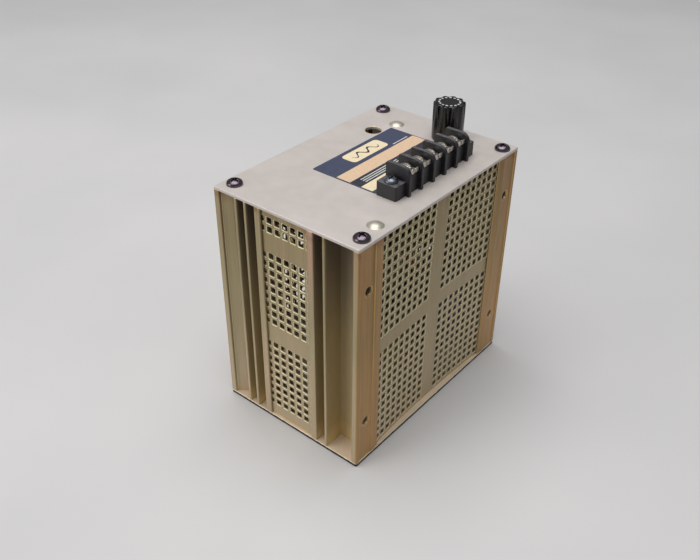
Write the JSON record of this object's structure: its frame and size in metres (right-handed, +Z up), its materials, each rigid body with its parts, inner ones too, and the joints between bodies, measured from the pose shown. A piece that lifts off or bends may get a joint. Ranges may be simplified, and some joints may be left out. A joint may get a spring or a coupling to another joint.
{
  "type": "linear bench power supply module",
  "caption": "Open-vented box power supply with finned corner heat sinks, perforated sides, a top terminal row and a fuse holder.",
  "frame": {"origin": "middle of the base plate underside, on the surface it stands on", "axes": "+Z up; +X towards the side with the terminal row; -Y towards the front grille"},
  "size_m": [0.087, 0.128, 0.146],
  "materials": {
    "gold_chromate": "chromate conversion coat, satin",
    "grille_metal": "chromate conversion coat, satin",
    "panel_metal": "clear etched, satin",
    "dark_plated_steel": "dark bronze plating, semi-gloss",
    "bright_steel": "zinc plated",
    "label_film": "printed film",
    "black_phenolic": "moulded, dusty",
    "nickel_plate": "nickel plated, worn",
    "black_gloss_plastic": "moulded, glossy",
    "fuse_glass": "clear",
    "fuse_brass": "nickel-plated brass",
    "lamination_steel": "varnished laminations",
    "bobbin_nylon": "moulded nylon",
    "copper_wire": "enamelled copper",
    "coil_tape": "polyester tape",
    "capacitor_sleeve": "shrink sleeve",
    "board_laminate": "glass-epoxy laminate",
    "epoxy_black": "moulded epoxy",
    "resistor_body": "lacquered",
    "mica": "insulating pad",
    "trim_blue": "moulded",
    "white_nylon": "moulded",
    "lead_black": "PVC insulation",
    "lead_red": "PVC insulation",
    "lead_yellow": "PVC insulation"
  },
  "bodies": {
    "case": {"base_plate": "panel_metal", "top_panel": "panel_metal", "heatsink_front_left": "gold_chromate", "heatsink_front_right": "gold_chromate", "heatsink_back_left": "gold_chromate", "heatsink_back_right": "gold_chromate", "grille_front": "grille_metal", "grille_back": "grille_metal", "grille_right": "grille_metal", "grille_left": "grille_metal", "top_cover_screws": "dark_plated_steel", "base_screws": "dark_plated_steel", "panel_rivets": "bright_steel", "rating_label": "label_film", "terminal_block": "black_phenolic", "terminal_block_screws": "dark_plated_steel", "terminal_block_nuts": "bright_steel", "terminal_strips": "nickel_plate", "fuse_holder_body": "black_gloss_plastic", "fuse_holder_nut": "bright_steel", "fuse_holder_contacts": "nickel_plate", "transformer_core": "lamination_steel", "transformer_bobbin": "bobbin_nylon", "primary_winding": "copper_wire", "secondary_winding": "coil_tape", "transformer_frame": "bright_steel", "filter_capacitors": "capacitor_sleeve", "capacitor_clamps": "bright_steel", "base_bolts": "bright_steel", "base_nuts": "bright_steel", "circuit_board": "board_laminate", "board_brackets": "panel_metal", "board_screws": "bright_steel", "board_nuts": "bright_steel", "bridge_rectifier": "epoxy_black", "regulator_ic": "epoxy_black", "board_capacitors": "capacitor_sleeve", "board_resistors": "resistor_body", "trim_pot_body": "trim_blue", "pass_transistors": "epoxy_black", "transistor_insulators": "mica", "transistor_screws": "bright_steel", "primary_leads": "lead_black", "fuse_lead": "lead_red", "secondary_leads": "lead_yellow"},
    "fuse": {"fuse_glass": "fuse_glass", "fuse_end_caps": "fuse_brass", "fuse_wire": "nickel_plate"},
    "fuse_cap": {"fuse_cap": "black_gloss_plastic"},
    "trim_pot_rotor": {"trim_pot_rotor": "white_nylon"},
    "saddle_1": {"terminal_saddle_1": "nickel_plate"},
    "screw_1": {"terminal_screw_1": "nickel_plate"},
    "saddle_2": {"terminal_saddle_2": "nickel_plate"},
    "screw_2": {"terminal_screw_2": "nickel_plate"},
    "saddle_3": {"terminal_saddle_3": "nickel_plate"},
    "screw_3": {"terminal_screw_3": "nickel_plate"},
    "saddle_4": {"terminal_saddle_4": "nickel_plate"},
    "screw_4": {"terminal_screw_4": "nickel_plate"},
    "saddle_5": {"terminal_saddle_5": "nickel_plate"},
    "screw_5": {"terminal_screw_5": "nickel_plate"}
  },
  "joints": [
    {"name": "fuse_pull", "type": "slide", "parent": "case", "child": "fuse", "axis": [0, 0, 1], "range_m": [0, 0.045]},
    {"name": "fuse_cap_turn", "type": "hinge", "parent": "fuse", "child": "fuse_cap", "pos_m": [0.0095, 0.05, 0.128], "axis": [0, 0, 1], "range_deg": [0, 60]},
    {"name": "trim_pot_turn", "type": "hinge", "parent": "case", "child": "trim_pot_rotor", "pos_m": [-0.025, 0.0325, 0.116], "axis": [0, 0, 1], "range_deg": [-135, 135]},
    {"name": "terminal_1_lift", "type": "slide", "parent": "case", "child": "saddle_1", "axis": [0, 0, 1], "range_m": [0, 0.00238]},
    {"name": "terminal_1_turn", "type": "hinge", "parent": "saddle_1", "child": "screw_1", "pos_m": [0.0256, -0.00915, 0.137], "axis": [0, 0, 1], "range_deg": [0, 1080]},
    {"name": "terminal_2_lift", "type": "slide", "parent": "case", "child": "saddle_2", "axis": [0, 0, 1], "range_m": [0, 0.00238]},
    {"name": "terminal_2_turn", "type": "hinge", "parent": "saddle_2", "child": "screw_2", "pos_m": [0.0256, 0.00038, 0.137], "axis": [0, 0, 1], "range_deg": [0, 1080]},
    {"name": "terminal_3_lift", "type": "slide", "parent": "case", "child": "saddle_3", "axis": [0, 0, 1], "range_m": [0, 0.00238]},
    {"name": "terminal_3_turn", "type": "hinge", "parent": "saddle_3", "child": "screw_3", "pos_m": [0.0256, 0.0099, 0.137], "axis": [0, 0, 1], "range_deg": [0, 1080]},
    {"name": "terminal_4_lift", "type": "slide", "parent": "case", "child": "saddle_4", "axis": [0, 0, 1], "range_m": [0, 0.00238]},
    {"name": "terminal_4_turn", "type": "hinge", "parent": "saddle_4", "child": "screw_4", "pos_m": [0.0256, 0.01943, 0.137], "axis": [0, 0, 1], "range_deg": [0, 1080]},
    {"name": "terminal_5_lift", "type": "slide", "parent": "case", "child": "saddle_5", "axis": [0, 0, 1], "range_m": [0, 0.00238]},
    {"name": "terminal_5_turn", "type": "hinge", "parent": "saddle_5", "child": "screw_5", "pos_m": [0.0256, 0.02895, 0.137], "axis": [0, 0, 1], "range_deg": [0, 1080]}
  ],
  "couplings": [
    {"joint": "terminal_1_turn", "follows": "terminal_1_lift", "rad_per_m": 7915.8},
    {"joint": "terminal_2_turn", "follows": "terminal_2_lift", "rad_per_m": 7915.8},
    {"joint": "terminal_3_turn", "follows": "terminal_3_lift", "rad_per_m": 7915.8},
    {"joint": "terminal_4_turn", "follows": "terminal_4_lift", "rad_per_m": 7915.8},
    {"joint": "terminal_5_turn", "follows": "terminal_5_lift", "rad_per_m": 7915.8}
  ]
}
